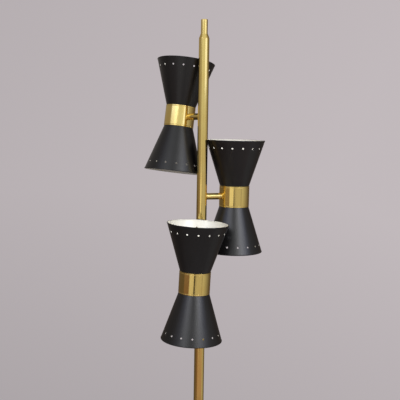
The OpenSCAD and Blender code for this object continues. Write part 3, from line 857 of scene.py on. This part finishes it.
coil, spring_bottom, spring_length = spring_mesh()
spring = place_piece("plunger_spring", coil, "pole", [STEEL], ["spring"])
print("open edges in the spring:", open_edges["plunger_spring"], "length",
      in_mm(spring_length), "mm")
travel = max(abs(limit) for limit in JOINTS["plunger_slide"]["range_m"])
(spring_length - travel) / spring_length
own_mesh(spring)

# %% [markdown]
# ## The foot
#
# The foot is a turned bell: a thin rim, a hollow flank that sweeps up in a quarter of a
# circle, and a collar that grips the pole. A set screw in the back of the collar holds
# it, so the collar's belt at that height is a pierced sheet. The bell stands on a rubber
# pad that shows as a dark line under the rim.

# %% The bell and its pad
FOOT_R, _, FOOT_LOW, FOOT_HIGH = ring_sizes("foot")
COLLAR_R = 15.75 * MM
RIM_TOP = FOOT_LOW + 4 * MM
FOOT_BORE = POLE_R + PUSH_FIT
SCREW_R = 2.05 * MM
SCREW_Z = middle_of(corners("foot_screw")).z
COLLAR_STEPS = 96
COLLAR_PATCH, COLLAR_ROWS = 12, 8
COLLAR_EASE, RIM_EASE = 0.9 * MM, 0.7 * MM
RIM_LEDGE = 1 * MM
SWEEP_STEPS = 16


def foot_mesh():
    cell = FULL_TURN * COLLAR_R / COLLAR_STEPS
    half = COLLAR_ROWS / 2 * cell
    bm = pierced_sheet(cell, COLLAR_PATCH, COLLAR_ROWS, gap=6, hole_r=SCREW_R,
                       depth=COLLAR_R - FOOT_BORE, ease=0.2 * MM)
    wrap(bm, SCREW_R, COLLAR_R, height=SCREW_Z)
    spin_beside(bm, (COLLAR_R, FOOT_BORE), cell, COLLAR_PATCH, COLLAR_ROWS, SCREW_Z,
                COLLAR_STEPS)
    above, below = SCREW_Z + half, SCREW_Z - half
    collar = [(COLLAR_R, above), (COLLAR_R, FOOT_HIGH), (FOOT_BORE, FOOT_HIGH),
              (FOOT_BORE, above)]
    spin_line(bm, eased(collar, COLLAR_EASE, 4, closed=False), COLLAR_STEPS)
    flank = FOOT_R - RIM_LEDGE - COLLAR_R
    angles = [math.pi / 2 * (1 - k / SWEEP_STEPS) for k in range(SWEEP_STEPS + 1)]
    sweep = [(COLLAR_R + flank * (1 - math.sin(a)), RIM_TOP + flank * (1 - math.cos(a)))
             for a in angles]
    seat, recess, inside = 9 * MM, FOOT_R - 3 * MM, 5 * MM
    rim = eased([sweep[-1], (FOOT_R, RIM_TOP), (FOOT_R, FOOT_LOW), (recess, FOOT_LOW),
                 (recess, inside), (0, inside)], RIM_EASE, 4, closed=False)
    spin_line(bm, [(COLLAR_R, below)] + sweep[:-1] + rim, COLLAR_STEPS)
    spin_line(bm, [(FOOT_BORE, below), (FOOT_BORE, seat), (0, seat)], COLLAR_STEPS)
    bmesh.ops.rotate(bm, cent=(0, 0, 0), matrix=QUARTER_TURN, verts=bm.verts)
    return close_up(bm)


def pad_profile():
    outer, _, low, high = ring_sizes("foot_pad")
    ring_out, ring_in, groove = outer - 5 * MM, outer - 8 * MM, low + 1 * MM
    side = eased([(ring_in, low), (ring_in, groove), (ring_out, groove), (ring_out, low),
                  (outer, low), (outer, high)], 0.5 * MM, closed=False)
    return [(0, low)] + side + [(0, high)]


place_piece("foot_bell", foot_mesh(), "pole", [TURNED_BRASS], ["foot"])
place_piece("foot_rubber", turned(pad_profile(), closed=False), "pole", [RUBBER],
            ["foot_pad"])
print("open edges in the foot:", open_edges["foot_bell"], "in its pad:",
      open_edges["foot_rubber"])

# %% [markdown]
# ## The arms
#
# Each arm is a short tube. At the band its end is square, and at the pole it is cut to
# the pole's curve. The tube is spun along the arm, and its inner end is then pulled
# onto the pole: a point that is x to the side touches a pole of radius R at
# sqrt(R*R - x*x) from the pole's axis.

# %% Arms
def hub_place(name):
    """The frame of an arm: +Z out along it, +Y up, at the pole's axis."""
    joint = JOINTS[f"{name}_swivel"]
    out = Vector(joint["axis"]).normalized()
    up = Vector((0, 0, 1))
    place = Matrix((up.cross(out), up, out)).transposed().to_4x4()
    place.translation = Vector((0, 0, joint["pos_m"][2]))
    return place


ARM_STEPS, ARM_ROWS = 64, 10
ARM_EDGE = 0.2 * MM


def arm_mesh(outer, inner, far):
    near = POLE_R - ARM_EDGE
    rises = [near + (far - near) * k / ARM_ROWS for k in range(ARM_ROWS)]
    line = [(inner, z) for z in reversed(rises)] + [(outer, z) for z in rises]
    edge = [(outer, far - ARM_EDGE), (outer - ARM_EDGE, far), (inner, far)]
    bm = turned(line + edge, steps=ARM_STEPS)
    for v in bm.verts:
        if v.co.z < near + 0.01 * MM:
            v.co.z = math.sqrt(POLE_R ** 2 - v.co.x ** 2)
    return bm


for name in HEADS:
    hub = hub_place(name)
    outer, inner, _, far = ring_sizes(f"{name}_arm", hub)
    place_piece(f"{name}_arm_tube", arm_mesh(outer, inner, far), "pole",
                [brass(f"{name}_arm_brass", hub)], [f"{name}_arm"], place=hub)
print("arm radius", in_mm(outer), "mm, arm ends", in_mm(far), "mm from the pole's axis")

# %% [markdown]
# ## A spun shade with its ring of holes
#
# A shade is one skin: a flat base round the lampholder, a short neck, the cone, and a
# bead rolled at the mouth. One sixteenth of the belt with the holes is a pierced sheet,
# wrapped on the cone and turned round sixteen times. The rest of the skin is two lines
# of points, above and below the belt, spun to meet it. Faces on the inner side of the
# skin get the white enamel, as the hole's wall does.

# %% Sizes of the shade
VENTS = 16
VENT_R = 2.0 * MM
VENT_DROP = 18.5 * MM
BEAD_R = 1.2 * MM
SKIN = 1.0 * MM
BEAD_STEPS = 16
VENT_EASE = 0.12 * MM
CELLS_ACROSS, CELLS_UP = 12, 8
SHADE_STEPS = VENTS * CELLS_ACROSS
# By how many degrees the ring of holes is turned, on the upper and on the lower shade.
VENT_TURNS = {"top": (0.0, 13.0), "middle": (14.0, 14.0), "bottom": (11.25, 11.25)}
SLOPE = math.atan((MOUTH_R - NECK_R) / (HALF_HEAD - HALF_BAND))
VENT_Z = HALF_HEAD - VENT_DROP
RING_R = NECK_R + (VENT_Z - HALF_BAND) * math.tan(SLOPE)
CELL = FULL_TURN * RING_R / SHADE_STEPS
UP_SLOPE = Vector((math.sin(SLOPE), math.cos(SLOPE)))
OUT_OF_SKIN = Vector((math.cos(SLOPE), -math.sin(SLOPE)))
print("the cone slopes", round(math.degrees(SLOPE), 2), "degrees, cells are", in_mm(CELL), "mm")


def on_cone(along, depth):
    """(radius, height) of a point that far up the slope from the vents and that deep."""
    return Vector((RING_R, VENT_Z)) + UP_SLOPE * along - OUT_OF_SKIN * depth


# %% The lines above and below the belt
def mouth_line():
    """From the belt's top over the rolled bead and back down inside."""
    half = CELLS_UP / 2 * CELL
    bead = Vector((MOUTH_R - BEAD_R, HALF_HEAD - BEAD_R))
    outer = BEAD_R * (math.cos(SLOPE) - math.sin(SLOPE))
    sides = []
    for off in (outer, outer - SKIN):
        meets = OUT_OF_SKIN * off - UP_SLOPE * math.sqrt(BEAD_R ** 2 - off ** 2)
        sides.append(math.atan2(meets.y, meets.x))
    first, last = sides[0], sides[1] % FULL_TURN
    angles = [first + (last - first) * k / BEAD_STEPS for k in range(BEAD_STEPS + 1)]
    arc = [bead + BEAD_R * Vector((math.cos(a), math.sin(a))) for a in angles]
    return [on_cone(half, 0)] + arc + [on_cone(half, SKIN)]


def neck_line():
    """From the belt's bottom down the cone and the neck to the base, and back up inside."""
    half = CELLS_UP / 2 * CELL
    wall = SKIN / math.cos(SLOPE)
    inside = [(BASE_HOLE_R, NECK_Z + SKIN), (NECK_R - wall, NECK_Z + SKIN),
              (NECK_R - wall, HALF_BAND), on_cone(-half, SKIN)]
    outside = [on_cone(-half, 0), (NECK_R, HALF_BAND), (NECK_R, NECK_Z),
               (BASE_HOLE_R, NECK_Z)]
    return eased(outside + inside, 0.5 * MM, closed=False)


# %% One shade
def is_inside(centre):
    """Whether a face's middle lies on the white side of the skin."""
    here = Vector((math.hypot(centre.x, centre.y), centre.z))
    if here.y > HALF_HEAD - 2 * BEAD_R:
        return here.x < MOUTH_R - 1.5 * BEAD_R
    if here.y > HALF_BAND:
        return (here - Vector((RING_R, VENT_Z))).dot(OUT_OF_SKIN) < -SKIN / 2
    return here.x < NECK_R - SKIN / 2 and here.y > NECK_Z + SKIN / 2


def shade_mesh(turn, upward):
    bm = pierced_sheet(CELL, CELLS_ACROSS, CELLS_UP, gap=6, hole_r=VENT_R, depth=SKIN,
                       ease=VENT_EASE)
    for face in bm.faces:
        face.material_index = int(face.calc_center_median().z < -VENT_EASE)
    wrap(bm, VENT_R, RING_R, SLOPE, VENT_Z)
    bmesh.ops.spin(bm, geom=all_of(bm), cent=(0, 0, 0), axis=(0, 0, 1),
                   angle=FULL_TURN * (VENTS - 1) / VENTS, steps=VENTS - 1, use_duplicate=True)
    belt = len(bm.faces)
    spin_line(bm, mouth_line(), SHADE_STEPS)
    spin_line(bm, neck_line(), SHADE_STEPS)
    bm.faces.ensure_lookup_table()
    for face in bm.faces[belt:]:
        face.material_index = int(is_inside(face.calc_center_median()))
    close_up(bm)
    turn_about = Matrix.Rotation(math.radians(turn), 3, "Z")
    if not upward:
        turn_about = Matrix.Rotation(math.pi, 3, "X") @ turn_about
    bmesh.ops.rotate(bm, cent=(0, 0, 0), matrix=turn_about, verts=bm.verts)
    return bm


for name in HEADS:
    for upward, turn in zip((True, False), VENT_TURNS[name]):
        side = "up" if upward else "down"
        cone = place_piece(f"{name}_{side}_cone", shade_mesh(turn, upward), f"{name}_head",
                           [BLACK, WHITE], [f"{name}_{side}_shade"], place=PLACES[name])
print("faces in a shade:", len(cone.data.polygons), "open edges in all six:",
      sum(count for name, count in open_edges.items() if name.endswith("_cone")))

# %% [markdown]
# ## The waist bands
#
# The band is a ring of turned brass that hides the joint between the two cones. Its
# edges are eased and a fine groove runs near each, which is what gives the thin bright
# and dark lines along the band's ends.

# %% Bands
GROOVE_IN, GROOVE_W, GROOVE_T, GROOVE_SLANT = 2.2 * MM, 0.9 * MM, 0.3 * MM, 0.15 * MM
BAND_EASE = 0.35 * MM
BAND_STEPS = 128


def band_profile():
    low_edge = -HALF_BAND + GROOVE_IN
    bottom = BAND_R - GROOVE_T
    half = [(BAND_IN, -HALF_BAND), (BAND_R, -HALF_BAND), (BAND_R, low_edge),
            (bottom, low_edge + GROOVE_SLANT),
            (bottom, low_edge + GROOVE_W - GROOVE_SLANT), (BAND_R, low_edge + GROOVE_W)]
    return eased(half + [(r, -z) for r, z in reversed(half)], BAND_EASE)


for name in HEADS:
    place_piece(f"{name}_waist", turned(band_profile(), steps=BAND_STEPS), f"{name}_head",
                [HEAD_BRASS[name]], [f"{name}_band"], place=PLACES[name])
print("points in a band's profile:", len(band_profile()))

# %% [markdown]
# ## The bulbs
#
# Opal bulbs with a globe on a neck. The glass has a wall and a soft bend where the neck
# meets the globe. One line of points runs from the globe's top inside, down round the
# neck's end, and back up outside.

# %% Bulbs
GLASS, CAP_R, GLOBE_STEPS = 0.8 * MM, 7 * MM, 28
NECK_SHARE = 0.62  # the neck's radius where it meets the globe, as a share of the globe's


def globe_line():
    globe_r, _, low, high = ring_sizes("middle_bulbs", PLACES["middle"], twins=True)
    centre = high - globe_r
    sweep = math.pi - math.asin(NECK_SHARE)
    angles = [sweep - sweep * k / GLOBE_STEPS for k in range(GLOBE_STEPS + 1)]

    def arc(radius):
        return [(radius * math.sin(a), centre + radius * math.cos(a)) for a in angles]

    outer, inner = arc(globe_r), arc(globe_r - GLASS)[::-1]
    neck = [(CAP_R - GLASS, low + 1 * MM), (CAP_R - GLASS, low), (CAP_R, low),
            (CAP_R + GLASS, low + 1 * MM)]
    bend = eased([inner[-1]] + neck + [outer[0]], 0.4 * MM, closed=False)[1:-1]
    return inner + bend + outer


def twin_mesh(line, steps=64):
    """The turned piece and its twin at the other end of the head."""
    bm = turned(line, closed=False, steps=steps)
    twin = bmesh.ops.duplicate(bm, geom=all_of(bm))["geom"]
    bmesh.ops.rotate(bm, cent=(0, 0, 0), matrix=Matrix.Rotation(math.pi, 3, "X"),
                     verts=verts_of(twin))
    return bm


for name in HEADS:
    place_piece(f"{name}_globes", twin_mesh(globe_line()), f"{name}_head", [OPAL],
                [f"{name}_bulbs"], place=PLACES[name])
print("points in a globe's line:", len(globe_line()))
print("new pieces:", len(open_edges), "open edges in all of them:", sum(open_edges.values()))

# %% [markdown]
# ## Finishes for the pieces that keep their engineering shape
#
# Nuts, washers, threaded tubes, brackets and lampholders are already exact, so they stay
# as they are and only get their finish.

# %% Finishes for the kept pieces
kept = []


def give(finish, *nodes):
    for node in nodes:
        mesh = frame["nodes"][node].data
        mesh.materials.clear()
        mesh.materials.append(finish)
        kept.append(node)


give(STEEL, "foot_screw", "spring_seat", "spring_washers")
give(RUBBER, "cord_bush")
give(INNER_BRASS, "lower_joiner", "upper_joiner", "plunger_guide", "arm_nipples",
     "swivel_nuts")
give(FIBRE, "fibre_washers")
for name in HEADS:
    give(HEAD_BRASS[name], f"{name}_saddle")
    give(STEEL, f"{name}_bracket")
    give(INNER_BRASS, f"{name}_holder_nipples")
    give(CREAM, f"{name}_up_holder", f"{name}_down_holder", f"{name}_shade_rings")
    give(CAP, f"{name}_bulb_caps")
print("kept pieces with a finish:", len(kept))
